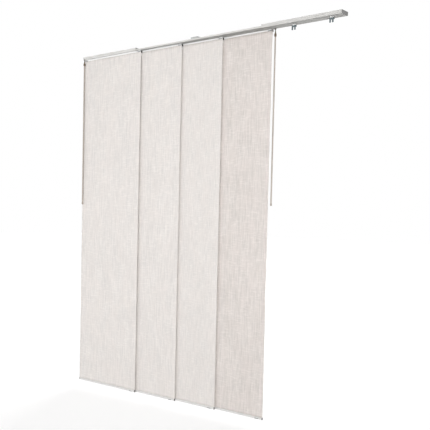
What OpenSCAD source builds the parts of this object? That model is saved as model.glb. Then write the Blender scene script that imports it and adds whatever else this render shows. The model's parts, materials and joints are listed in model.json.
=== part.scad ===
// Panel track blind: four flat fabric panels that slide in a four-channel telescoping ceiling track.
// X runs along the track, +Y to the window side, +Z up. The origin is the middle of the ceiling face.

/* [Track] */
// Length over both outer sections, drawn out
track_length = 2186; // [1900:1:2300]
// Length of each outer section
outer_length = 552; // [500:1:600]
// Height of the outer sections
outer_height = 22; // [20:0.5:28]
// Wall of the outer sections
outer_wall = 1.5; // [1.2:0.1:2]
// Radius on the long edges of the outer sections
outer_edge_r = 1; // [0.4:0.1:1.2]
// Distance between neighbouring channels
channel_pitch = 17; // [16:0.5:20]
// Width of the slot under each channel
slot_width = 8.5; // [7.5:0.1:9.5]
// Height of the hollow deck above the channels
deck_height = 6.5; // [5:0.5:7.5]
// Diameter of the ceiling screw holes in an outer section
outer_hole_d = 4.5; // [4:0.1:5.5]
// Diameter of the driver holes under them
driver_hole_d = 9; // [8.5:0.1:11]
// Distance between the two ceiling screw holes of an outer section
outer_hole_spacing = 400; // [300:1:450]

/* [Centre rails] */
// Sheet of the rolled centre rails
rail_sheet = 0.6; // [0.5:0.05:0.65]
// Play at the sides and top of a centre rail
rail_play = 0.3; // [0.2:0.05:0.5]
// Play under a centre rail
rail_lift = 0.1; // [0.05:0.05:0.15]
// Length of a centre rail that stays inside its outer section
rail_overlap = 30; // [25:1:60]
// Gap between the butted ends of the centre rails
rail_butt_gap = 0.4; // [0.2:0.1:2]

/* [Ceiling bracket] */
// Length of the bracket along the track
bracket_length = 60; // [50:1:80]
// Diameter of the ceiling screw holes
ceiling_hole_d = 5; // [4:0.1:6]
// Diameter of the recess for a ceiling screw head
ceiling_head_d = 9.5; // [8:0.1:11]
// Depth of the recess for a ceiling screw head
ceiling_head_depth = 4; // [2:0.5:5]
// Diameter of the rail screws
rail_screw_d = 3; // [2.5:0.1:3.5]
// Diameter of the rail screw heads
rail_screw_head_d = 5.6; // [5:0.1:6.5]
// Height of the rail screw heads
rail_screw_head_h = 1.6; // [1:0.1:2]
// Depth of the rail screws in the bracket
rail_screw_depth = 6; // [4:0.5:7]
// Distance of the rail screws from the joint
rail_screw_offset = 15; // [10:1:20]
// Number of grip ribs on each long face of the bracket
bracket_ribs = 9; // [5:1:13]
// Width of a grip rib
bracket_rib_w = 2.4; // [1.5:0.1:3]
// Height of a grip rib above the face
bracket_rib_h = 0.9; // [0.4:0.1:1.5]

/* [End caps] */
// Plate of an end cap
cap_plate = 2; // [1.5:0.1:4]
// Reach of the cap spigots into the channels
cap_spigot = 5; // [3:0.5:8]
// Play round a moulded insert
insert_play = 0.05; // [0.03:0.01:0.1]

/* [Carriers] */
// Length of a glider head
glider_length = 24; // [20:1:28]
// Width of a glider head
glider_width = 11; // [9.5:0.1:12]
// Height of a glider head
glider_head_h = 5.5; // [4:0.1:6]
// Width of a glider neck
neck_width = 6; // [4:0.1:6.5]
// Length of a glider neck
neck_length = 16; // [12:1:18]
// Play between a glider head and the rail under it
glider_play = 0.2; // [0.1:0.05:0.25]
// Gap between the track and a glider foot
foot_gap = 0.5; // [0.3:0.1:1]
// Length of a glider foot
foot_length = 20; // [16:1:24]
// Width of a glider foot
foot_width = 10; // [8:0.5:11]
// Height of a glider foot
foot_height = 6.5; // [5.5:0.1:9]
// Radius on the corners of a glider foot
foot_edge_r = 2; // [1:0.1:3]
// Diameter of the spigot that holds a clip
spigot_d = 5; // [4:0.1:6]
// Distance from the panel side to the middle of a carrier
carrier_inset = 22; // [20:0.5:40]
// Width of a carrier clip
clip_width = 28; // [22:0.5:32]
// Height of the pronged front plate of a clip
clip_height = 28; // [22:0.5:30]
// Height of the short lip behind the slat
clip_lip_h = 9; // [6:0.5:14]
// Sheet of a carrier clip
clip_sheet = 1.2; // [0.8:0.1:1.5]
// Width of the slot between the prongs of a clip
clip_slot_w = 7.5; // [6:0.5:12]
// Height of the slot between the prongs of a clip
clip_slot_h = 19; // [12:0.5:20]
// Play between a clip and the slat
clip_play = 0.1; // [0.05:0.05:0.2]

/* [Panels] */
// Width of a panel
panel_width = 600; // [560:1:640]
// Drop from the ceiling face to the bottom edge
panel_drop = 2438; // [1500:1:2600]
// Distance from the track end to the first panel
first_panel_gap = 5; // [1:1:8]
// Distance from the right side of the first panel to that of the second
second_panel_step = 368; // [300:1:420]
// Distance from the right side of the second panel to that of the third
third_panel_step = 335; // [300:1:380]
// Distance from the right side of the third panel to that of the fourth
fourth_panel_step = 373; // [300:1:380]
// Thickness of the fabric
fabric_t = 0.8; // [0.5:0.1:1]
// Gap between the track and the top of the fabric
fabric_gap = 11; // [10:0.5:14]
// Thickness of a carrier slat
slat_t = 8; // [6:0.5:8.5]
// Height of a carrier slat at its ends
slat_h = 30; // [28:1:40]
// Gap between the track and the raised middle of a slat
slat_gap = 1.2; // [1:0.1:3]
// Wall of a carrier slat
slat_wall = 1; // [0.8:0.1:1.4]
// Length of the head of a slat end plug
slat_plug_head = 4; // [3:0.5:6]
// Height of that head above the slat end
slat_plug_rise = 2.5; // [1:0.1:2.8]
// Reach of a slat end plug into the slat
slat_plug_reach = 12; // [8:1:20]
// Thickness of the grip strip
grip_t = 2.2; // [1.6:0.1:2.6]
// Height of the grip strip
grip_h = 20; // [15:1:22]
// Gap beside a clip to the grip strip and the raised middle of the slat
clip_side_gap = 3; // [1:1:20]

/* [Bottom bars] */
// Height of a bottom bar
bar_h = 14; // [13:0.5:20]
// Thickness of a bottom bar
bar_t = 9; // [7:0.5:10]
// Wall of a bottom bar
bar_wall = 1.2; // [1:0.1:1.6]
// Radius on the long edges of a bottom bar
bar_edge_r = 2; // [1:0.1:2.5]
// Depth of the fabric in the hem slot
hem_depth = 5.5; // [4:0.5:6]
// Play between the fabric and the hem slot
hem_play = 0.3; // [0.2:0.05:0.4]
// Plate of a bar end plug
plug_plate = 2; // [1.5:0.1:3]
// Reach of a plain end plug
plug_reach = 12; // [8:1:20]
// Length of the notch that shows the long end plug
notch_length = 30; // [15:1:40]
// Distance of the notch from the right end
notch_inset = 28; // [20:1:40]
// Height of the notch
notch_h = 5; // [3:0.1:5.5]

/* [Spare carriers] */
// Distance of the first spare carrier from the right track end
spare_1_from_end = 342; // [335:1:360]
// Distance of the second spare carrier from the right track end
spare_2_from_end = 76; // [40:1:150]

/* [Wands] */
// Length of a wand rod
rod_length = 1035; // [700:5:1300]
// Diameter of a wand rod
rod_d = 9; // [7:0.5:10]
// Diameter of a wand knob
knob_d = 14; // [13:0.5:18]
// Height of a wand knob
knob_h = 20; // [14:0.5:26]
// Depth of a rod in its knob and tip
rod_socket = 9; // [6:0.5:10]
// Height of a rod tip
tip_h = 14; // [13:0.5:20]
// Wall of a rod tip
tip_wall = 1; // [0.8:0.1:1.6]
// Play between the first panel's fabric and the wand knob
wand_front_gap = 10; // [1:0.5:14]
// Distance of the second wand from the side of the fourth panel
wand_side_gap = 18; // [10:0.5:30]
// Diameter of the wire of a screw eye
eye_wire_d = 2.2; // [1.8:0.1:2.4]
// Depth of a screw eye in the glider foot
eye_depth = 6; // [4:0.5:8]
// Radius of a flat eye
eye_r = 3.5; // [3.2:0.1:3.6]
// Thickness of a flat eye
eye_t = 2; // [1.5:0.1:2.5]
// Radius of a link pin
pin_r = 1.5; // [1.2:0.05:1.6]
// Running play of a link pin
pin_play = 0.06; // [0.03:0.01:0.09]
// Sheet of a link cheek
cheek_t = 1.2; // [1:0.1:1.6]
// Play between an eye and a cheek
cheek_play = 0.3; // [0.2:0.05:0.4]
// Distance between the two pins of a link
link_length = 17; // [16:0.5:22]
// Height of the base of a fork
fork_base_h = 3; // [2:0.1:4]
// Room in a fork under its eye
fork_room = 2; // [1.5:0.1:2.5]
// Depth of the waist of a knob
knob_waist = 1.2; // [0.6:0.1:1.5]
// Height of the cone at the foot of a knob
knob_foot_h = 2; // [1:0.1:4]
// Height of the shoulder of a knob
knob_shoulder_h = 4; // [3:0.1:6]
// Height of the round top of a knob
knob_top_h = 1.5; // [1:0.1:2.5]
// Radius of the flat end of a rod tip
tip_flat_r = 1; // [0.5:0.1:2]

/* [Hidden] */
$fn = 48;
// Overshoot of a cut past a face
over = 0.1;
channels = 4;

// Levels, downwards from the ceiling face
lip_top = -outer_height + outer_wall;
channel_top = -2 * outer_wall - deck_height;
rail_bottom = lip_top + rail_lift;
rail_top = channel_top - rail_play;
glider_bottom = rail_bottom + rail_sheet + glider_play;
foot_top = -outer_height - foot_gap;
clip_top = foot_top - foot_height;
slat_top = clip_top - clip_sheet - clip_play;
slat_rise = -outer_height - slat_gap - slat_top;
fabric_top = -outer_height - fabric_gap;
bar_top = -panel_drop + bar_h;
fabric_bottom = bar_top - hem_depth;

// Widths across the track
outer_depth = channels * channel_pitch + outer_wall;
channel_width = channel_pitch - outer_wall;
rail_width = channel_width - 2 * rail_play;
bracket_depth = outer_depth - 2 * outer_wall - 2 * bracket_rib_h;
clip_half = slat_t / 2 + clip_play + clip_sheet;
slat_cells = 3;
slat_cell_w = slat_t - 2 * slat_wall;
slat_cell_h = (slat_h - (slat_cells + 1) * slat_wall) / slat_cells;
fabric_back = slat_t / 2 + grip_t;
fabric_front = fabric_back + fabric_t;
fabric_mid = fabric_back + fabric_t / 2;
hem_slot = fabric_t + 2 * hem_play;

// Places along the track
track_end = track_length / 2;
outer_inner_end = track_end - outer_length;
rail_end = outer_inner_end + rail_overlap;
panel_1_right = -track_end + first_panel_gap + panel_width;
panel_2_right = panel_1_right + second_panel_step;
panel_3_right = panel_2_right + third_panel_step;
panel_4_right = panel_3_right + fourth_panel_step;
panel_rights = [panel_1_right, panel_2_right, panel_3_right, panel_4_right];
clip_clear = carrier_inset + clip_width / 2 + clip_side_gap;
spare_1_x = track_end - spare_1_from_end;
spare_2_x = track_end - spare_2_from_end;
spare_1_channel = 3;
spare_2_channel = 2;

// Wand places: the first hangs in front of its panel, the second beside it
eye_z = (foot_top + clip_top) / 2;
left_wand_x = panel_1_right - panel_width + carrier_inset;
left_wand_y = channel_y(1) - fabric_front - wand_front_gap - knob_d / 2;
right_wand_x = panel_4_right + wand_side_gap;
right_wand_y = channel_y(4);
left_eye_reach = channel_y(1) - foot_width / 2 - left_wand_y;
right_eye_reach = right_wand_x - (panel_4_right - carrier_inset + foot_length / 2);
cheek_inner = eye_t / 2 + cheek_play;
cheek_outer = cheek_inner + cheek_t;
cheek_r = eye_r - cheek_play;
fork_drop = eye_r + fork_room;
fork_bottom = -fork_drop - fork_base_h;

function channel_y(k) = (k - (channels + 1) / 2) * channel_pitch;
function panel_left(k) = panel_rights[k - 1] - panel_width;
function carrier_xs(k) = [panel_left(k) + carrier_inset, panel_rights[k - 1] - carrier_inset];

// A section drawn in Y and Z, drawn out along X from x0
module along_x(x0, length) {
    translate([x0, 0, 0]) rotate([90, 0, 90]) linear_extrude(length) children();
}

// A rectangle with round corners, from its lower left corner
module round_rect(size, r) {
    translate([r, 0]) square([size.x - 2 * r, size.y]);
    translate([0, r]) square([size.x, size.y - 2 * r]);
    for (x = [r, size.x - r], y = [r, size.y - r]) translate([x, y]) circle(r);
}

// A bar with half-round ends in plan, centred in X and Y, standing on z0
module round_ended(length, width, z0, height) {
    translate([0, 0, z0]) linear_extrude(height) {
        square([length - width, width], center = true);
        for (s = [-1, 1]) translate([s * (length - width) / 2, 0]) circle(width / 2);
    }
}

// Outline of an outer track and its end caps
module outer_outline() {
    translate([-outer_depth / 2, -outer_height]) round_rect([outer_depth, outer_height], outer_edge_r);
}

// Section of an outer track: hollow deck above four slotted channels
module outer_section() {
    difference() {
        outer_outline();
        for (k = [1 : channels]) translate([channel_y(k), 0]) {
            translate([-channel_width / 2, -outer_wall - deck_height]) square([channel_width, deck_height]);
            translate([-channel_width / 2, lip_top]) square([channel_width, channel_top - lip_top]);
            translate([-slot_width / 2, -outer_height - over]) square([slot_width, outer_wall + 2 * over]);
        }
    }
}

// Outer track from x0, with two ceiling screw holes and the driver holes under them
module outer_track(x0) {
    color("#c9cbcc") difference() {
        along_x(x0, outer_length) outer_section();
        for (side = [-1, 1])
            translate([x0 + outer_length / 2 + side * outer_hole_spacing / 2, channel_y(2), 0]) {
                translate([0, 0, -outer_wall - over]) cylinder(d = outer_hole_d, h = outer_wall + 2 * over);
                translate([0, 0, channel_top - over]) cylinder(d = driver_hole_d, h = outer_wall + 2 * over);
            }
    }
}

// Section of a centre rail: an open C that lies in a channel
module rail_section() {
    height = rail_top - rail_bottom;
    inner = rail_width - 2 * rail_sheet;
    difference() {
        translate([-rail_width / 2, rail_bottom]) square([rail_width, height]);
        translate([-inner / 2, rail_bottom + rail_sheet]) square([inner, height - 2 * rail_sheet]);
        translate([-slot_width / 2, rail_bottom - over]) square([slot_width, rail_sheet + 2 * over]);
    }
}

// One centre rail of channel k; side -1 is the left one
module centre_rail(k, side) {
    length = rail_end - rail_butt_gap / 2;
    x0 = side < 0 ? -rail_end : rail_butt_gap / 2;
    color("#dcdddd") translate([0, channel_y(k), 0]) difference() {
        along_x(x0, length) rail_section();
        translate([side * rail_screw_offset, 0, rail_top - rail_sheet - over])
            cylinder(d = rail_screw_d + 2 * rail_play, h = rail_sheet + 2 * over);
    }
}

// Moulded block on the rail joint, with two ceiling screw holes between the rails
module ceiling_bracket() {
    height = -rail_top;
    rib_pitch = bracket_length / bracket_ribs;
    color("#b9bbbc") difference() {
        union() {
            along_x(-bracket_length / 2, bracket_length)
                translate([-bracket_depth / 2, rail_top]) square([bracket_depth, height]);
            for (i = [0 : bracket_ribs - 1], side = [-1, 1])
                translate([-bracket_length / 2 + (i + 0.5) * rib_pitch, side * bracket_depth / 2, rail_top])
                    translate([-bracket_rib_w / 2, -bracket_rib_h, 0])
                        cube([bracket_rib_w, 2 * bracket_rib_h, height]);
        }
        for (side = [-1, 1]) translate([0, side * channel_pitch, 0]) {
            translate([0, 0, rail_top - over]) cylinder(d = ceiling_hole_d, h = height + 2 * over);
            translate([0, 0, rail_top - over]) cylinder(d = ceiling_head_d, h = ceiling_head_depth + over);
        }
        for (k = [1 : channels], side = [-1, 1])
            translate([side * rail_screw_offset, channel_y(k), rail_top - over])
                cylinder(d = rail_screw_d + 2 * insert_play, h = rail_screw_depth + insert_play + over);
    }
}

// Pan-head screws that hold every rail under the bracket
module bracket_screws() {
    head_top = rail_top - rail_sheet;
    color("#9a9c9e") for (k = [1 : channels], side = [-1, 1])
        translate([side * rail_screw_offset, channel_y(k), head_top]) {
            cylinder(d = rail_screw_d, h = rail_sheet + rail_screw_depth);
            translate([0, 0, -rail_screw_head_h]) cylinder(d = rail_screw_head_d, h = rail_screw_head_h);
        }
}

// End cap: a plate over the section, with a spigot in each channel; side -1 is the left one
module end_cap(side) {
    spigot_w = channel_width - 2 * insert_play;
    spigot_h = channel_top - lip_top - 2 * insert_play;
    color("#7d7f81") mirror([side < 0 ? 1 : 0, 0, 0]) {
        along_x(track_end, cap_plate) outer_outline();
        for (k = [1 : channels])
            along_x(track_end - cap_spigot, cap_spigot)
                translate([channel_y(k) - spigot_w / 2, lip_top + insert_play]) square([spigot_w, spigot_h]);
    }
}

// Moulded glider about the middle of its channel: head, neck, foot and clip spigot
module glider() {
    spigot_r = spigot_d / 2 - insert_play;
    round_ended(glider_length, glider_width, glider_bottom, glider_head_h);
    round_ended(neck_length, neck_width, foot_top, glider_bottom - foot_top);
    translate([0, 0, clip_top]) linear_extrude(foot_height)
        translate([-foot_length / 2, -foot_width / 2]) round_rect([foot_length, foot_width], foot_edge_r);
    translate([0, 0, clip_top - clip_sheet]) cylinder(r = spigot_r, h = clip_sheet + over);
}

// Pilot hole for a screw eye, down from the face of a glider foot
module eye_hole() {
    translate([0, 0, -eye_depth - insert_play])
        cylinder(d = eye_wire_d + 2 * insert_play, h = eye_depth + insert_play + over);
}

// Both gliders of panel k; those at the outer track ends take the screw eyes of the wands
module panel_gliders(k) {
    color("#f2f2ef") difference() {
        for (x = carrier_xs(k)) translate([x, channel_y(k), 0]) glider();
        if (k == 1)
            translate([left_wand_x, left_wand_y + left_eye_reach, eye_z]) rotate([90, 0, 0]) eye_hole();
        if (k == channels)
            translate([right_wand_x - right_eye_reach, right_wand_y, eye_z]) rotate([0, 90, 0]) eye_hole();
    }
}

// Clip folded from sheet over the slat: two prongs in front and a short lip behind
module clip() {
    color("#8b9697") difference() {
        along_x(-clip_width / 2, clip_width)
            translate([-clip_half, clip_top - clip_height]) square([2 * clip_half, clip_height]);
        along_x(-clip_width / 2 - over, clip_width + 2 * over)
            translate([-clip_half + clip_sheet, clip_top - clip_height - over])
                square([2 * (clip_half - clip_sheet), clip_height - clip_sheet + over]);
        translate([-clip_width / 2 - over, 0, clip_top - clip_height - over])
            cube([clip_width + 2 * over, clip_half + over, clip_height - clip_lip_h + over]);
        translate([-clip_slot_w / 2, -clip_half - over, clip_top - clip_height - over])
            cube([clip_slot_w, clip_half + over, clip_slot_h - clip_slot_w / 2 + over]);
        translate([0, 0, clip_top - clip_height + clip_slot_h - clip_slot_w / 2]) rotate([90, 0, 0])
            cylinder(d = clip_slot_w, h = clip_half + over);
        translate([0, 0, clip_top - clip_sheet - over]) cylinder(d = spigot_d, h = clip_sheet + 2 * over);
    }
}

module panel_clips(k) {
    for (x = carrier_xs(k)) translate([x, channel_y(k), 0]) clip();
}

// Section of a slat from its lower edge, with a row of open cells
module slat_section() {
    difference() {
        translate([-slat_t / 2, 0]) round_rect([slat_t, slat_h], slat_wall);
        for (i = [0 : slat_cells - 1])
            translate([-slat_cell_w / 2, slat_wall + i * (slat_cell_h + slat_wall)])
                square([slat_cell_w, slat_cell_h]);
    }
}

// Section of the raised middle, which is cut away at the ends for the clips
module slat_raised_section() {
    difference() {
        translate([-slat_t / 2, slat_h - slat_wall]) square([slat_t, slat_rise + slat_wall]);
        translate([-slat_cell_w / 2, slat_h]) square([slat_cell_w, slat_rise - slat_wall]);
    }
}

// Hollow extruded slat that carries the fabric of panel k
module panel_slat(k) {
    color("#f4f4f2") translate([0, channel_y(k), slat_top - slat_h]) {
        along_x(panel_left(k) + slat_plug_head, panel_width - 2 * slat_plug_head) slat_section();
        along_x(panel_left(k) + clip_clear, panel_width - 2 * clip_clear) slat_raised_section();
    }
}

// Plugs in the upper cell of the slat, with a dark head on each end
module panel_slat_plugs(k) {
    head_low = slat_top - slat_cell_h - 1.5 * slat_wall;
    head_h = slat_top + slat_plug_rise - head_low;
    spigot_w = slat_cell_w - 2 * insert_play;
    spigot_low = slat_top - slat_wall - slat_cell_h + insert_play;
    spigot_h = slat_cell_h - 2 * insert_play;
    color("#3c3a38") for (end = [0, 1])
        translate([panel_left(k) + end * panel_width, channel_y(k), 0]) mirror([end, 0, 0]) {
            translate([0, -slat_t / 2, head_low]) cube([slat_plug_head, slat_t, head_h]);
            translate([slat_plug_head, -spigot_w / 2, spigot_low])
                cube([slat_plug_reach, spigot_w, spigot_h]);
        }
}

// Hook-and-loop strip between the clips, on the room side of the slat
module panel_grip(k) {
    grip_low = slat_top - (slat_h + grip_h) / 2;
    color("#e4e2dd") translate([panel_left(k) + clip_clear, channel_y(k) - fabric_back, grip_low])
        cube([panel_width - 2 * clip_clear, grip_t, grip_h]);
}

module panel_fabric(k) {
    color("#d9d5ce") translate([panel_left(k), channel_y(k) - fabric_front, fabric_bottom])
        cube([panel_width, fabric_t, fabric_top - fabric_bottom]);
}

// Section of a bottom bar about the middle of the fabric, with the hem slot open at the top
module bar_outline() {
    difference() {
        translate([-bar_t / 2, -panel_drop]) round_rect([bar_t, bar_h], bar_edge_r);
        translate([-hem_slot / 2, fabric_bottom - hem_play]) square([hem_slot, hem_depth + hem_play + over]);
    }
}

// Cell of the bar under the hem slot, made smaller all round by the given play
module bar_cell(play) {
    cell_h = bar_h - hem_depth - hem_play - 2 * bar_wall;
    translate([-bar_t / 2 + bar_wall + play, -panel_drop + bar_wall + play])
        square([bar_t - 2 * (bar_wall + play), cell_h - 2 * play]);
}

module panel_bar(k) {
    right = panel_rights[k - 1];
    color("#cfcfcc") translate([0, channel_y(k) - fabric_mid, 0]) difference() {
        along_x(panel_left(k) + plug_plate, panel_width - 2 * plug_plate) difference() {
            bar_outline();
            bar_cell(0);
        }
        translate([right - notch_inset - notch_length, -bar_t / 2 - over, -panel_drop - over])
            cube([notch_length, bar_wall + 2 * over, notch_h + over]);
    }
}

// End plugs: the right one reaches past the notch, which shows it
module panel_plugs(k) {
    long_reach = notch_inset + notch_length + plug_reach;
    right = panel_rights[k - 1];
    color("#4d4c4a") translate([0, channel_y(k) - fabric_mid, 0]) {
        along_x(panel_left(k), plug_plate) bar_outline();
        along_x(panel_left(k) + plug_plate, plug_reach) bar_cell(insert_play);
        along_x(right - plug_plate, plug_plate) bar_outline();
        along_x(right - long_reach, long_reach - plug_plate) bar_cell(insert_play);
    }
}

module spare_glider(x, k) {
    color("#f2f2ef") translate([x, channel_y(k), 0]) glider();
}

module spare_clip(x, k) {
    translate([x, channel_y(k), 0]) clip();
}

// Screw eye whose wire points up out of the foot; the flat eye stands at the given reach
module screw_eye(reach) {
    difference() {
        union() {
            translate([0, 0, -eye_depth]) cylinder(d = eye_wire_d, h = eye_depth + reach);
            cylinder(d = 2 * eye_wire_d, h = eye_wire_d / 2);
            translate([0, 0, reach]) rotate([0, 90, 0]) cylinder(r = eye_r, h = eye_t, center = true);
        }
        translate([0, 0, reach]) rotate([0, 90, 0])
            cylinder(r = pin_r + pin_play, h = eye_t + eye_wire_d, center = true);
    }
}

// Fork over a flat eye, with its pin along X and its base below
module fork() {
    for (s = [-1, 1]) {
        translate([s * (cheek_inner + cheek_t / 2), 0, 0]) {
            rotate([0, 90, 0]) cylinder(r = cheek_r, h = cheek_t, center = true);
            translate([-cheek_t / 2, -cheek_r, -fork_drop]) cube([cheek_t, 2 * cheek_r, fork_drop]);
        }
    }
    rotate([0, 90, 0]) cylinder(r = pin_r, h = 2 * cheek_outer, center = true);
    translate([-cheek_outer, -cheek_r, fork_bottom]) cube([2 * cheek_outer, 2 * cheek_r, fork_base_h]);
}

// Two-way link: a fork on the screw eye above, and a flat eye turned a quarter below
module link() {
    neck_w = 2 * (eye_r - cheek_t);
    color("#8f8b84") {
        fork();
        difference() {
            union() {
                translate([-neck_w / 2, -eye_t / 2, -link_length])
                    cube([neck_w, eye_t, link_length + fork_bottom]);
                translate([0, 0, -link_length]) rotate([90, 0, 0])
                    cylinder(r = eye_r, h = eye_t, center = true);
            }
            translate([0, 0, -link_length]) rotate([90, 0, 0])
                cylinder(r = pin_r + pin_play, h = 2 * eye_t, center = true);
        }
    }
}

// Knob with a fork for the link, a waisted body and a socket for the rod
module knob() {
    body_r = knob_d / 2;
    waist_r = body_r - knob_waist;
    socket_r = rod_d / 2 + insert_play;
    color("#4a3b2a") {
        rotate([0, 0, 90]) fork();
        translate([0, 0, fork_bottom - knob_h]) difference() {
            rotate_extrude() polygon([
                [0, 0], [waist_r, 0], [body_r, knob_foot_h], [body_r, knob_h - knob_shoulder_h],
                [waist_r, knob_h - knob_top_h], [cheek_outer, knob_h], [0, knob_h]
            ]);
            translate([0, 0, -over]) cylinder(r = socket_r, h = rod_socket + over);
        }
    }
}

module rod() {
    top = fork_bottom - knob_h + rod_socket;
    color("#a89f93") translate([0, 0, top - rod_length]) cylinder(d = rod_d, h = rod_length);
}

// Rounded tip over the lower end of the rod
module rod_tip() {
    outer_r = rod_d / 2 + insert_play + tip_wall;
    round_r = outer_r - tip_flat_r;
    bottom = fork_bottom - knob_h + rod_socket - rod_length - (tip_h - rod_socket);
    color("#4a3b2a") translate([0, 0, bottom]) difference() {
        union() {
            translate([0, 0, round_r]) cylinder(r = outer_r, h = tip_h - round_r);
            translate([0, 0, round_r]) rotate_extrude() difference() {
                union() {
                    translate([outer_r - round_r, 0]) circle(round_r);
                    translate([0, -round_r]) square([outer_r - round_r, 2 * round_r]);
                }
                translate([-outer_r, -2 * outer_r]) square([outer_r, 4 * outer_r]);
                translate([-outer_r, 0]) square([3 * outer_r, 2 * outer_r]);
            }
        }
        translate([0, 0, tip_h - rod_socket]) cylinder(r = rod_d / 2 + insert_play, h = rod_socket + over);
    }
}

// The first wand hangs from an eye that points to the room, the second from one that points along the track
module at_left_wand(drop) {
    translate([left_wand_x, left_wand_y, eye_z - drop]) children();
}

module at_right_wand(drop) {
    translate([right_wand_x, right_wand_y, eye_z - drop]) rotate([0, 0, 90]) children();
}

module left_wand_eye() {
    color("#8f8b84") translate([left_wand_x, left_wand_y + left_eye_reach, eye_z]) rotate([90, 0, 0])
        screw_eye(left_eye_reach);
}

module right_wand_eye() {
    color("#8f8b84") translate([right_wand_x - right_eye_reach, right_wand_y, eye_z]) rotate([0, 90, 0])
        rotate([0, 0, 90]) screw_eye(right_eye_reach);
}

outer_track(-track_end);  // left_outer_track
outer_track(outer_inner_end);  // right_outer_track
centre_rail(1, -1);  // left_rail_1
centre_rail(2, -1);  // left_rail_2
centre_rail(3, -1);  // left_rail_3
centre_rail(4, -1);  // left_rail_4
centre_rail(1, 1);  // right_rail_1
centre_rail(2, 1);  // right_rail_2
centre_rail(3, 1);  // right_rail_3
centre_rail(4, 1);  // right_rail_4
ceiling_bracket();
bracket_screws();
end_cap(-1);  // left_end_cap
end_cap(1);  // right_end_cap
panel_gliders(1);  // panel_1_gliders
panel_gliders(2);  // panel_2_gliders
panel_gliders(3);  // panel_3_gliders
panel_gliders(4);  // panel_4_gliders
panel_clips(1);  // panel_1_clips
panel_clips(2);  // panel_2_clips
panel_clips(3);  // panel_3_clips
panel_clips(4);  // panel_4_clips
panel_slat(1);  // panel_1_slat
panel_slat(2);  // panel_2_slat
panel_slat(3);  // panel_3_slat
panel_slat(4);  // panel_4_slat
panel_slat_plugs(1);  // panel_1_slat_plugs
panel_slat_plugs(2);  // panel_2_slat_plugs
panel_slat_plugs(3);  // panel_3_slat_plugs
panel_slat_plugs(4);  // panel_4_slat_plugs
panel_grip(1);  // panel_1_grip_strip
panel_grip(2);  // panel_2_grip_strip
panel_grip(3);  // panel_3_grip_strip
panel_grip(4);  // panel_4_grip_strip
panel_fabric(1);  // panel_1_fabric
panel_fabric(2);  // panel_2_fabric
panel_fabric(3);  // panel_3_fabric
panel_fabric(4);  // panel_4_fabric
panel_bar(1);  // panel_1_bottom_bar
panel_bar(2);  // panel_2_bottom_bar
panel_bar(3);  // panel_3_bottom_bar
panel_bar(4);  // panel_4_bottom_bar
panel_plugs(1);  // panel_1_bar_plugs
panel_plugs(2);  // panel_2_bar_plugs
panel_plugs(3);  // panel_3_bar_plugs
panel_plugs(4);  // panel_4_bar_plugs
spare_glider(spare_1_x, spare_1_channel);  // spare_1_glider
spare_clip(spare_1_x, spare_1_channel);  // spare_1_clip
spare_glider(spare_2_x, spare_2_channel);  // spare_2_glider
spare_clip(spare_2_x, spare_2_channel);  // spare_2_clip
left_wand_eye();
at_left_wand(0) link();  // left_wand_link
at_left_wand(link_length) knob();  // left_wand_knob
at_left_wand(link_length) rod();  // left_wand_rod
at_left_wand(link_length) rod_tip();  // left_wand_tip
right_wand_eye();
at_right_wand(0) link();  // right_wand_link
at_right_wand(link_length) knob();  // right_wand_knob
at_right_wand(link_length) rod();  // right_wand_rod
at_right_wand(link_length) rod_tip();  // right_wand_tip
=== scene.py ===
"""Looks of a panel track blind: linen panels, coated track, steel clips and draw wands."""
import json
import math
from collections import namedtuple

import bmesh
import bpy
from mathutils import Matrix, Vector


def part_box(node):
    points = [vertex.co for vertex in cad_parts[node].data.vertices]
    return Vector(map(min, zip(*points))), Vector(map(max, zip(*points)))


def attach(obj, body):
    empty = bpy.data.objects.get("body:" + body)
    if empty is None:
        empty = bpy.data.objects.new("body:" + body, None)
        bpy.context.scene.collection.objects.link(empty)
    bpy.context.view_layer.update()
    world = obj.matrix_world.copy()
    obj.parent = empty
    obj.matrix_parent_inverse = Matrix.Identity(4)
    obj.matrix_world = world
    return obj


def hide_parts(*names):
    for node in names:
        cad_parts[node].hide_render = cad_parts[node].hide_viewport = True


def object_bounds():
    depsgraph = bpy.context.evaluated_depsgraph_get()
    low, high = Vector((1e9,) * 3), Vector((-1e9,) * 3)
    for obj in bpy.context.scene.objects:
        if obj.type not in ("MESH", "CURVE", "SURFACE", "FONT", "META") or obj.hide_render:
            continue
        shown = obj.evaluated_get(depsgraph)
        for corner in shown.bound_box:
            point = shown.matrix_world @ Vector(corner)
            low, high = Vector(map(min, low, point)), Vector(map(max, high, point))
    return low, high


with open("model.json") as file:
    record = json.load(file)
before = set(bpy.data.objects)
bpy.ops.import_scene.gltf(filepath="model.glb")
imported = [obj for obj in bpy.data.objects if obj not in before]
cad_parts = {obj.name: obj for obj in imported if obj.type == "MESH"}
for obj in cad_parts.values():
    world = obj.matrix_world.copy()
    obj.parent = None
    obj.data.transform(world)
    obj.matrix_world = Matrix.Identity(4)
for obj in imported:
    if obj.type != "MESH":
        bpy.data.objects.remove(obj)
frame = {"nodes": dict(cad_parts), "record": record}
cad_low, cad_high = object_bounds()
MM = 0.001
WHITE = (1.0, 1.0, 1.0, 1.0)

# Fabric panels: side hems turned to the back by a share of the cloth's thickness, and sewn with one seam
PANELS = (1, 2, 3, 4)
# The rearmost panel gets a darker, pinker copy of the panel linen: painted shade for the less light it
# gets
PAINTED_SHADE_PANEL = 4
HEM_WIDTH = 9 * MM
HEM_TURN_SHARE = 0.5
SEAM_DEPTH = 0.25 * MM
SEAM_HALF = 1.0 * MM

# Mesh of a panel: a point as near the seam as SEAM_TOUCH lies on it, and each hem is HEM_FACES wide
SHEET_ROWS = 150
SHEET_COLUMNS = 44
SEAM_TOUCH = 0.1 * MM
HEM_FACES = 3
PANEL_CLOTH = 0
HEM_CLOTH = 1

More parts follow.
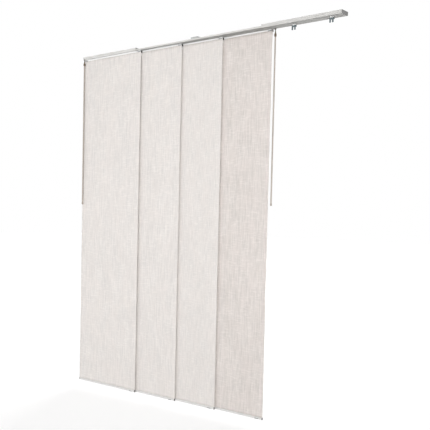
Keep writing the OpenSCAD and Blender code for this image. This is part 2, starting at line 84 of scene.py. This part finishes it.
# Ripple of the hung cloth: long waves across a panel that sway on their way down, and one slow wave
RIPPLE_HEIGHT = 1.1 * MM
RIPPLE_HOLD = 0.7
LONG_WAVES = 2.3
LONG_WAVE_SHARE = 0.6
SWAY = 1.3
SWAY_RATE = 3.1
SLOW_WAVE_SHARE = 0.4
SLOW_WAVE_RATE = 2.0
PANEL_PHASE = 1.7

# Linen weave. A streak is noise: its cycles per metre across, through and down the cloth, the span of
# the noise that shows, the values which that span is carried to, and its detail.
Streak = namedtuple("Streak", "cycles span reach detail", defaults=(2.0,))
NOISE_SPAN = (0.3, 0.7)
FINE_WARP = Streak((420.0, 60.0, 11.0), NOISE_SPAN, (-0.6, 0.6))
THICK_WARP = Streak((160.0, 20.0, 12.0), NOISE_SPAN, (-1.0, 1.0))
FINE_WEFT = Streak((22.0, 60.0, 420.0), NOISE_SPAN, (-0.25, 0.25))
PALE_WEFT = Streak((24.0, 20.0, 150.0), (0.5, 0.68), (-0.15, 0.9))
CLOUDS = Streak((7.0, 7.0, 5.0), NOISE_SPAN, (-0.3, 0.3), 3.0)
WARM_CLOUDS = Streak((14.0, 14.0, 9.0), (0.35, 0.65), (0.0, 1.0))
SHADE_SPAN = (-2.2, 2.2)
THREADS_PER_METRE = 900.0
THREAD_RELIEF = 0.35
PANEL_SLUB = 1.08
HEM_SLUB = 0.6

# Linen finish: roughness of deep and pale threads, and the bump's strength and depth
WARM_SHARE = 0.25
LINEN_ROUGH = (0.95, 0.82)
LINEN_BUMP = (0.35, 0.4 * MM)
LINEN_SHEEN = 0.12
LINEN_SHEEN_ROUGH = 0.5
LINEN_SPECULAR = 0.2

# Coats, mouldings and drawn metal: how much duller and glossier they are in places, the bump's strength
# and depth, and the cycles per metre of drawn lines along each axis
GRAINS_PER_METRE = 1500.0
GRAIN_DETAIL = 2.0
COAT_CLOUD_CYCLES = 18.0
COAT_CLOUD_DETAIL = 4.0
COAT_DULLER = 0.06
COAT_GLOSSIER = 0.04
COAT_BUMP = (0.15, 0.05 * MM)
LINE_DETAIL = 3.0
METAL_DULLER = 0.08
METAL_GLOSSIER = 0.06
METAL_BUMP = (0.12, 0.04 * MM)
ALONG_TRACK = (6.0, 1800.0, 1800.0)
ALONG_ROD = (1500.0, 1500.0, 5.0)
DOWN_CLIP = (1600.0, 1600.0, 12.0)
ALL_WAYS = (900.0, 900.0, 900.0)

# Camera: the photograph's own place, seen from the right of the blind and level with its middle
CAMERA_PLACE = Vector((3.177, -3.679, -1.189))
CAMERA_YAW = math.radians(39.63)
CAMERA_PITCH = math.radians(2.52)
CAMERA_ROLL = math.radians(1.31)
CAMERA_REACH = 200.0
IMAGE_SIZE = 430
FOCAL_PIXELS = 728.4
AXIS_PIXEL = (207.7, 250.7)
SENSOR_WIDTH = 36.0

# Floor: its glow is less near the blind, where the shadow shows, and more far off, where the lamps fade
FLOOR_GAP = 45 * MM
FLOOR_HALF = 40.0
FLOOR_TONE = (0.42, 0.42, 0.42, 1.0)
FLOOR_ROUGH = 0.9
FLOOR_BOUNCE = 0.28
FLOOR_NEAR = 4.0
FLOOR_FAR = 10.0
GLOW_NEAR = 0.63
GLOW_FAR = 0.76

# Light: the world's level, and lamps with their place, their aim from the blind's middle, their side in
# metres, their watts and their beam's angle in degrees
AMBIENT = 0.54
Lamp = namedtuple("Lamp", "place aim size watts beam")
LAMPS = {
    "key": Lamp(place=(6.55, -10.1, -1.3), aim=(-1.3, 0.0, -0.4), size=5.0, watts=113.0, beam=45.0),
    "fill": Lamp(place=(-4.6, -3.4, -0.2), aim=(0.0, 0.0, 0.0), size=2.5, watts=10.0, beam=180.0),
    "back": Lamp(place=(-4.5, 10.5, 2.6), aim=(0.0, 0.0, 0.0), size=5.0, watts=790.0, beam=180.0),
}

# Sockets: kinds in a group's interface, and the colour sockets of a mix node by number
NUMBER = "NodeSocketFloat"
VECTOR = "NodeSocketVector"
MIX_FIRST = 6
MIX_SECOND = 7
MIX_RESULT = 2


def new_group(name, inputs, outputs):
    """A shader node group with named sockets: its tree, its input node and its output node."""
    tree = bpy.data.node_groups.new(name, "ShaderNodeTree")
    for label, kind, value in inputs:
        socket = tree.interface.new_socket(name=label, in_out="INPUT", socket_type=kind)
        if value is not None:
            socket.default_value = value
    for label in outputs:
        tree.interface.new_socket(name=label, in_out="OUTPUT", socket_type=NUMBER)
    return tree, tree.nodes.new("NodeGroupInput"), tree.nodes.new("NodeGroupOutput")


def connect(tree, node, inputs):
    """Inputs of a node, by name or number: each linked to a socket or set to a plain value."""
    for key, value in inputs.items():
        if isinstance(value, bpy.types.NodeSocket):
            tree.links.new(value, node.inputs[key])
        else:
            node.inputs[key].default_value = value


def add(tree, kind, inputs=None, **settings):
    """A new node with its settings and its inputs."""
    node = tree.nodes.new(kind)
    for key, value in settings.items():
        setattr(node, key, value)
    connect(tree, node, inputs or {})
    return node


def math_node(tree, operation, a, b=0.0):
    """The result of one sum, product or function."""
    return add(tree, "ShaderNodeMath", {0: a, 1: b}, operation=operation).outputs[0]


def remap(tree, value, low, high, to_low, to_high):
    """A value carried from one span to another and held inside it."""
    inputs = {0: value, 1: low, 2: high, 3: to_low, 4: to_high}
    return add(tree, "ShaderNodeMapRange", inputs, clamp=True).outputs[0]


def noise(tree, place, scale, detail):
    """Noise from 0 to 1."""
    inputs = {"Vector": place, "Scale": scale, "Detail": detail}
    return add(tree, "ShaderNodeTexNoise", inputs).outputs["Fac"]


def stretched_noise(tree, place, cycles, detail):
    """Noise from 0 to 1, drawn out along the axes with few cycles."""
    stretched = add(tree, "ShaderNodeMapping", {"Vector": place, "Scale": cycles})
    return noise(tree, stretched.outputs[0], 1.0, detail)


def streaks(tree, place, streak):
    """The values of a streak over the cloth."""
    drawn = stretched_noise(tree, place, streak.cycles, streak.detail)
    return remap(tree, drawn, *streak.span, *streak.reach)


def linen_weave_group():
    """Slubbed plain weave: long thick and thin threads both ways, and the crossing of single threads."""
    tree, given, out = new_group(
        "linen_weave",
        [("Place", VECTOR, None), ("Threads per metre", NUMBER, THREADS_PER_METRE), ("Slub", NUMBER, 1.0)],
        ["Shade", "Warmth", "Height"],
    )
    place = given.outputs["Place"]
    slubbed = streaks(tree, place, FINE_WARP)
    for threads in (THICK_WARP, FINE_WEFT, PALE_WEFT):
        slubbed = math_node(tree, "ADD", slubbed, streaks(tree, place, threads))
    slubbed = math_node(tree, "MULTIPLY", slubbed, given.outputs["Slub"])
    clouded = math_node(tree, "ADD", slubbed, streaks(tree, place, CLOUDS))
    shade = remap(tree, clouded, *SHADE_SPAN, 0.0, 1.0)
    split = add(tree, "ShaderNodeSeparateXYZ", {0: place})
    turns = math_node(tree, "MULTIPLY", given.outputs["Threads per metre"], math.pi)
    warp_thread = math_node(tree, "SINE", math_node(tree, "MULTIPLY", split.outputs["X"], turns))
    weft_thread = math_node(tree, "SINE", math_node(tree, "MULTIPLY", split.outputs["Z"], turns))
    crossing = math_node(tree, "MULTIPLY", warp_thread, weft_thread)
    height = math_node(tree, "ADD", math_node(tree, "MULTIPLY", crossing, THREAD_RELIEF), shade)
    connect(tree, out, {"Shade": shade, "Warmth": streaks(tree, place, WARM_CLOUDS), "Height": height})
    return tree


def fine_grain_group():
    """The grain of a powder coat or a moulded skin, with faint clouding of its gloss."""
    tree, given, out = new_group(
        "fine_grain",
        [("Place", VECTOR, None), ("Grains per metre", NUMBER, GRAINS_PER_METRE)],
        ["Cloud", "Height"],
    )
    place = given.outputs["Place"]
    grain = noise(tree, place, given.outputs["Grains per metre"], GRAIN_DETAIL)
    cloud = noise(tree, place, COAT_CLOUD_CYCLES, COAT_CLOUD_DETAIL)
    connect(tree, out, {"Cloud": remap(tree, cloud, *NOISE_SPAN, 0.0, 1.0), "Height": grain})
    return tree


def drawn_lines_group():
    """Fine lines left by drawing or rolling metal, along the axes with few cycles."""
    tree, given, out = new_group(
        "drawn_lines",
        [("Place", VECTOR, None), ("Stretch", VECTOR, (1.0, 1.0, 1.0))],
        ["Lines", "Height"],
    )
    lines = stretched_noise(tree, given.outputs["Place"], given.outputs["Stretch"], LINE_DETAIL)
    connect(tree, out, {"Lines": remap(tree, lines, *NOISE_SPAN, 0.0, 1.0), "Height": lines})
    return tree


LINEN_WEAVE = linen_weave_group()
FINE_GRAIN = fine_grain_group()
DRAWN_LINES = drawn_lines_group()


def linear(colour):
    """A colour written as it is seen, 0 to 255 on the sRGB curve, as the shader's own numbers."""
    def channel(v):
        v /= 255.0
        return v / 12.92 if v <= 0.04045 else ((v + 0.055) / 1.055) ** 2.4
    red, green, blue = colour
    return (channel(red), channel(green), channel(blue), 1.0)


def new_material(name):
    """A material with its tree, its shader and the place on the object."""
    material = bpy.data.materials.new(name)
    material.use_nodes = True
    tree = material.node_tree
    shader = tree.nodes["Principled BSDF"]
    place = add(tree, "ShaderNodeTexCoord").outputs["Object"]
    return material, tree, shader, place


def blend_colours(tree, factor, first, second):
    """A colour between two, the second where the factor is 1."""
    inputs = {"Factor": factor, MIX_FIRST: first, MIX_SECOND: second}
    return add(tree, "ShaderNodeMix", inputs, data_type="RGBA").outputs[MIX_RESULT]


def bump(tree, height, strength, distance):
    """The normal of a surface with fine relief."""
    inputs = {"Height": height, "Strength": strength, "Distance": distance}
    return add(tree, "ShaderNodeBump", inputs).outputs[0]


def linen(name, pale, deep, warm, slub):
    """Linen-look panel cloth: pale and deep slubs, with a warm cast in clouds."""
    material, tree, shader, place = new_material(name)
    weave = add(tree, "ShaderNodeGroup", node_tree=LINEN_WEAVE)
    connect(tree, weave, {"Place": place, "Slub": slub})
    shade = weave.outputs["Shade"]
    slubbed = blend_colours(tree, shade, linear(deep), linear(pale))
    warmth = math_node(tree, "MULTIPLY", weave.outputs["Warmth"], WARM_SHARE)
    connect(tree, shader, {
        "Base Color": blend_colours(tree, warmth, slubbed, linear(warm)),
        "Roughness": remap(tree, shade, 0.0, 1.0, *LINEN_ROUGH),
        "Normal": bump(tree, weave.outputs["Height"], *LINEN_BUMP),
        "Sheen Weight": LINEN_SHEEN,
        "Sheen Roughness": LINEN_SHEEN_ROUGH,
        "Specular IOR Level": LINEN_SPECULAR,
    })
    return material


def coated(name, colour, shadow, rough, metallic=0.0, grains=GRAINS_PER_METRE):
    """Powder-coated or moulded surface: a fine grain, and faint clouds of colour and gloss."""
    material, tree, shader, place = new_material(name)
    grain = add(tree, "ShaderNodeGroup", node_tree=FINE_GRAIN)
    connect(tree, grain, {"Place": place, "Grains per metre": grains})
    cloud = grain.outputs["Cloud"]
    connect(tree, shader, {
        "Base Color": blend_colours(tree, cloud, linear(shadow), linear(colour)),
        "Roughness": remap(tree, cloud, 0.0, 1.0, rough + COAT_DULLER, rough - COAT_GLOSSIER),
        "Normal": bump(tree, grain.outputs["Height"], *COAT_BUMP),
        "Metallic": metallic,
    })
    return material


def drawn_metal(name, colour, shadow, rough, stretch, metallic=1.0):
    """Rolled or drawn metal with fine lines along its length."""
    material, tree, shader, place = new_material(name)
    drawn = add(tree, "ShaderNodeGroup", node_tree=DRAWN_LINES)
    connect(tree, drawn, {"Place": place, "Stretch": stretch})
    lines = drawn.outputs["Lines"]
    connect(tree, shader, {
        "Base Color": blend_colours(tree, lines, linear(shadow), linear(colour)),
        "Roughness": remap(tree, lines, 0.0, 1.0, rough + METAL_DULLER, rough - METAL_GLOSSIER),
        "Normal": bump(tree, drawn.outputs["Height"], *METAL_BUMP),
        "Metallic": metallic,
    })
    return material


# Finishes by material slot: the colour, its shade in the low places and how rough it is, and for drawn
# metal which way its lines run and how metallic it is
FINISHES = {
    "track_aluminium": coated("track_coat", (211, 210, 207), (201, 200, 197), 0.42, metallic=0.1),
    "rail_steel": drawn_metal("rail_coat", (214, 213, 210), (200, 199, 196), 0.4, ALONG_TRACK, 0.15),
    "bracket_plastic": coated("bracket_plastic", (187, 189, 187), (170, 172, 170), 0.6, grains=900.0),
    "screw_steel": drawn_metal("screw_zinc", (168, 170, 172), (140, 142, 145), 0.32, ALL_WAYS),
    "cap_plastic": coated("cap_plastic", (141, 140, 139), (126, 125, 124), 0.55, grains=1100.0),
    "glider_plastic": coated("glider_plastic", (242, 242, 241), (234, 234, 233), 0.45, grains=1300.0),
    "clip_steel": drawn_metal("clip_spring_steel", (118, 130, 134), (92, 103, 107), 0.42, DOWN_CLIP, 0.35),
    "slat_plastic": coated("slat_plastic", (249, 249, 248), (244, 244, 243), 0.5, grains=1300.0),
    "grip_fabric": coated("grip_tape", (230, 228, 224), (212, 210, 205), 0.9, grains=700.0),
    "bar_aluminium": drawn_metal("bar_coat", (223, 222, 220), (210, 209, 207), 0.42, ALONG_TRACK, 0.1),
    "plug_plastic": coated("plug_plastic", (34, 33, 32), (26, 25, 24), 0.6, grains=1100.0),
    "wire_steel": drawn_metal("wire_nickel", (150, 146, 140), (120, 116, 110), 0.34, ALONG_ROD),
    "knob_plastic": coated("knob_plastic", (104, 88, 68), (84, 70, 53), 0.5, grains=1200.0),
    "rod_metal": drawn_metal("rod_coat", (168, 159, 150), (148, 139, 130), 0.38, ALONG_ROD, 0.2),
}
TIP_PLASTIC = coated("tip_plastic", (168, 158, 147), (153, 144, 135), 0.5, grains=1200.0)
PANEL_LINEN = linen("panel_linen", (234, 229, 225), (204, 200, 197), (224, 216, 211), PANEL_SLUB)
# Painted shade: a darker, pinker copy of the same panel linen, for the rearmost panel
PAINTED_SHADE_LINEN = linen("panel_linen_painted_shade", (231, 224, 220), (192, 186, 181), (223, 213, 208), PANEL_SLUB)
HEM_LINEN = linen("hem_linen", (243, 239, 234), (224, 219, 214), (234, 225, 219), HEM_SLUB)


def new_object(name, data):
    """An object in the scene that holds the data."""
    obj = bpy.data.objects.new(name, data)
    bpy.context.scene.collection.objects.link(obj)
    return obj


def paint(obj, *materials):
    """An object's material slots, filled anew."""
    obj.data.materials.clear()
    for material in materials:
        obj.data.materials.append(material)


def dress_solids():
    """Every solid that stays gets the finish of its slot, and the rods' tips a paler plastic."""
    for part in frame["record"]["subparts"]:
        finish = FINISHES.get(part["material_slot"])
        if part["node"].endswith("_tip"):
            finish = TIP_PLASTIC
        if finish:
            paint(frame["nodes"][part["node"]], finish)


def column_places(width):
    """Places across a panel, from its left side: close together at both hems, even between them."""
    inside = HEM_WIDTH + SEAM_HALF
    hem = [0.0, HEM_WIDTH / 2, HEM_WIDTH - SEAM_HALF, HEM_WIDTH, inside]
    step = (width - 2 * inside) / SHEET_COLUMNS
    middle = [inside + i * step for i in range(1, SHEET_COLUMNS)]
    return hem + middle + [width - place for place in reversed(hem)]


def ripple(panel, across, down):
    """How far the hung cloth stands off its plane: nothing at the tape and the bar, most between them."""
    held = math.sin(math.pi * down) ** RIPPLE_HOLD
    phase = PANEL_PHASE * panel
    sway = SWAY * math.sin(SWAY_RATE * down + phase)
    long_wave = math.sin(2 * math.pi * LONG_WAVES * across + phase + sway)
    slow_wave = math.sin(math.pi * across + SLOW_WAVE_RATE * down + phase)
    return RIPPLE_HEIGHT * held * (LONG_WAVE_SHARE * long_wave + SLOW_WAVE_SHARE * slow_wave)


def sheet_points(mesh, panel, low, high):
    """Points of a panel's front and back, row by row from the tape down to the bar."""
    width, drop, thick = high.x - low.x, high.z - low.z, high.y - low.y
    columns = column_places(width)
    front, back = [], []
    for row in range(SHEET_ROWS + 1):
        down = row / SHEET_ROWS
        z = high.z - drop * down
        front_row, back_row = [], []
        for place in columns:
            edge = min(place, width - place)
            off = ripple(panel, place / width, down)
            sewn = SEAM_DEPTH if abs(edge - HEM_WIDTH) < SEAM_TOUCH else 0.0
            turned = thick * HEM_TURN_SHARE if edge < HEM_WIDTH and 0 < row < SHEET_ROWS else 0.0
            front_row.append(mesh.verts.new((low.x + place, low.y + off + sewn, z)))
            back_row.append(mesh.verts.new((low.x + place, high.y + off + turned, z)))
        front.append(front_row)
        back.append(back_row)
    return front, back


def sheet_faces(mesh, front, back):
    """The front and back of a panel, its two sides and its two ends, with the hems in their own cloth."""
    last = len(front[0]) - 1
    for row in range(SHEET_ROWS):
        for c in range(last):
            upper, lower = front[row], front[row + 1]
            faces = [mesh.faces.new((upper[c], lower[c], lower[c + 1], upper[c + 1]))]
            upper, lower = back[row], back[row + 1]
            faces.append(mesh.faces.new((upper[c + 1], lower[c + 1], lower[c], upper[c])))
            in_hem = c < HEM_FACES or c >= last - HEM_FACES
            for face in faces:
                face.material_index = HEM_CLOTH if in_hem else PANEL_CLOTH
                face.smooth = True
        for c, flip in ((0, False), (last, True)):
            side = (back[row][c], back[row + 1][c], front[row + 1][c], front[row][c])
            mesh.faces.new(tuple(reversed(side)) if flip else side).material_index = HEM_CLOTH
    for row, flip in ((0, False), (SHEET_ROWS, True)):
        for c in range(last):
            rim = (front[row][c], front[row][c + 1], back[row][c + 1], back[row][c])
            mesh.faces.new(tuple(reversed(rim)) if flip else rim)
    bmesh.ops.recalc_face_normals(mesh, faces=mesh.faces)


def panel_sheet(panel):
    """One linen panel as a closed thin sheet, with hems turned to the back and a sewn line along each."""
    node = f"panel_{panel}_fabric"
    low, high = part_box(node)
    mesh = bmesh.new()
    front, back = sheet_points(mesh, panel, low, high)
    sheet_faces(mesh, front, back)
    data = bpy.data.meshes.new(f"panel_{panel}_linen")
    mesh.to_mesh(data)
    mesh.free()
    sheet = new_object(f"panel_{panel}_linen", data)
    # The rearmost panel gets the darker copy of the linen, which is painted shade
    paint(sheet, PAINTED_SHADE_LINEN if panel == PAINTED_SHADE_PANEL else PANEL_LINEN, HEM_LINEN)
    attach(sheet, f"panel_{panel}")
    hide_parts(node)


def make_camera():
    """The camera at the photograph's place, with its lens and its framing."""
    data = bpy.data.cameras.new("camera")
    camera = new_object("camera", data)
    upright = Vector((0.0, 0.0, 1.0))
    level_right = Vector((math.cos(CAMERA_YAW), math.sin(CAMERA_YAW), 0.0))
    level_ahead = Vector((-math.sin(CAMERA_YAW), math.cos(CAMERA_YAW), 0.0))
    ahead = math.cos(CAMERA_PITCH) * level_ahead - math.sin(CAMERA_PITCH) * upright
    above = math.cos(CAMERA_PITCH) * upright + math.sin(CAMERA_PITCH) * level_ahead
    right = math.cos(CAMERA_ROLL) * level_right + math.sin(CAMERA_ROLL) * above
    up = -math.sin(CAMERA_ROLL) * level_right + math.cos(CAMERA_ROLL) * above
    turn = Matrix((right, up, -ahead)).transposed()
    camera.matrix_world = Matrix.Translation(CAMERA_PLACE) @ turn.to_4x4()
    data.sensor_width = SENSOR_WIDTH
    data.lens = FOCAL_PIXELS * SENSOR_WIDTH / IMAGE_SIZE
    data.shift_x = 0.5 - AXIS_PIXEL[0] / IMAGE_SIZE
    data.shift_y = AXIS_PIXEL[1] / IMAGE_SIZE - 0.5
    data.clip_end = CAMERA_REACH
    bpy.context.scene.camera = camera


def seen_directly(tree):
    """1 where the camera sees the surface itself, in a mirror or through glass."""
    path = add(tree, "ShaderNodeLightPath")
    seen = math_node(tree, "MAXIMUM", path.outputs["Is Camera Ray"], path.outputs["Is Glossy Ray"])
    return math_node(tree, "MAXIMUM", seen, path.outputs["Is Transmission Ray"])


def make_surroundings():
    """White all round to the eye, and a plain even light on the blind."""
    world = bpy.data.worlds.new("studio")
    bpy.context.scene.world = world
    world.use_nodes = True
    tree = world.node_tree
    strength = remap(tree, seen_directly(tree), 0.0, 1.0, AMBIENT, 1.0)
    connect(tree, tree.nodes["Background"], {"Color": WHITE, "Strength": strength})


def make_floor():
    """A pale floor under the hanging panels."""
    data = bpy.data.meshes.new("floor")
    z = cad_low.z - FLOOR_GAP
    corners = [(x * FLOOR_HALF, y * FLOOR_HALF, z) for x, y in ((-1, -1), (1, -1), (1, 1), (-1, 1))]
    data.from_pydata(corners, [], [(0, 1, 2, 3)])
    floor = new_object("floor", data)
    material, tree, shader, place = new_material("floor_white")
    away = add(tree, "ShaderNodeVectorMath", {0: place}, operation="LENGTH").outputs["Value"]
    glow = remap(tree, away, FLOOR_NEAR, FLOOR_FAR, GLOW_NEAR, GLOW_FAR)
    connect(tree, shader, {
        "Base Color": FLOOR_TONE,
        "Roughness": FLOOR_ROUGH,
        "Emission Color": WHITE,
        "Emission Strength": remap(tree, seen_directly(tree), 0.0, 1.0, FLOOR_BOUNCE, glow),
    })
    paint(floor, material)


def soft_lamp(name, lamp):
    """A large soft studio lamp turned to its aim, with its beam held inside an angle in degrees."""
    data = bpy.data.lights.new(name, "AREA")
    data.shape = "SQUARE"
    data.size = lamp.size
    data.energy = lamp.watts
    data.spread = math.radians(lamp.beam)
    place = Vector(lamp.place)
    target = (cad_low + cad_high) / 2 + Vector(lamp.aim)
    light = new_object(name, data)
    light.location = place
    light.rotation_euler = (target - place).to_track_quat("-Z", "Y").to_euler()


bpy.context.scene.view_settings.view_transform = "Standard"
make_camera()
dress_solids()
for panel in PANELS:
    panel_sheet(panel)
make_surroundings()
make_floor()
for name, lamp in LAMPS.items():
    soft_lamp(name, lamp)
